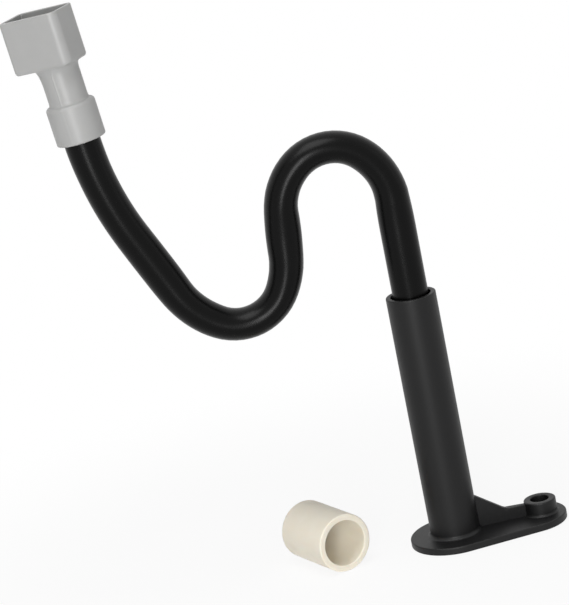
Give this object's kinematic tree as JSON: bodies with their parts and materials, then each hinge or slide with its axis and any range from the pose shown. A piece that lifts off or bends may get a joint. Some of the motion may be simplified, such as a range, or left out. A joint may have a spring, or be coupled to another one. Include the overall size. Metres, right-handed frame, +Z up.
{
  "type": "flanged hose and tube assembly",
  "caption": "Bent flexible hose with an oblong push-on cup at one end, standing in a rigid tube on a teardrop foot with a screw boss and a gusset, with a loose soft sleeve.",
  "frame": {"origin": "on the tube's axis at the underside of the foot", "axes": "+Z up the tube's axis, +X from the tube towards the screw boss, and the hose bends in the XZ plane"},
  "size_m": [0.1601, 0.0368, 0.2169],
  "materials": {
    "tube_black": "black moulded plastic with a soft sheen",
    "hose_black": "smooth satin black hose",
    "cup_grey": "mid-grey moulded plastic, satin, with mould parting lines",
    "sleeve_cream": "matt cream soft rubber"
  },
  "bodies": {
    "flanged_tube": {"flanged_tube": "tube_black"},
    "hose": {"hose": "hose_black"},
    "inlet_cup": {"inlet_cup": "cup_grey"},
    "sleeve": {"sleeve": "sleeve_cream"}
  },
  "joints": [
    {"name": "hose_turn", "type": "hinge", "parent": "flanged_tube", "child": "hose", "pos_m": [0, 0, 0.09], "axis": [0, 0, 1], "continuous": true},
    {"name": "cup_turn", "type": "hinge", "parent": "hose", "child": "inlet_cup", "pos_m": [-0.10058, 0, 0.17059], "axis": [-0.0958, 0, 0.9954], "continuous": true},
    {"name": "sleeve_lift", "type": "slide", "parent": "flanged_tube", "child": "sleeve", "axis": [0, 0, 1], "range_m": [0, 0.06]}
  ]
}
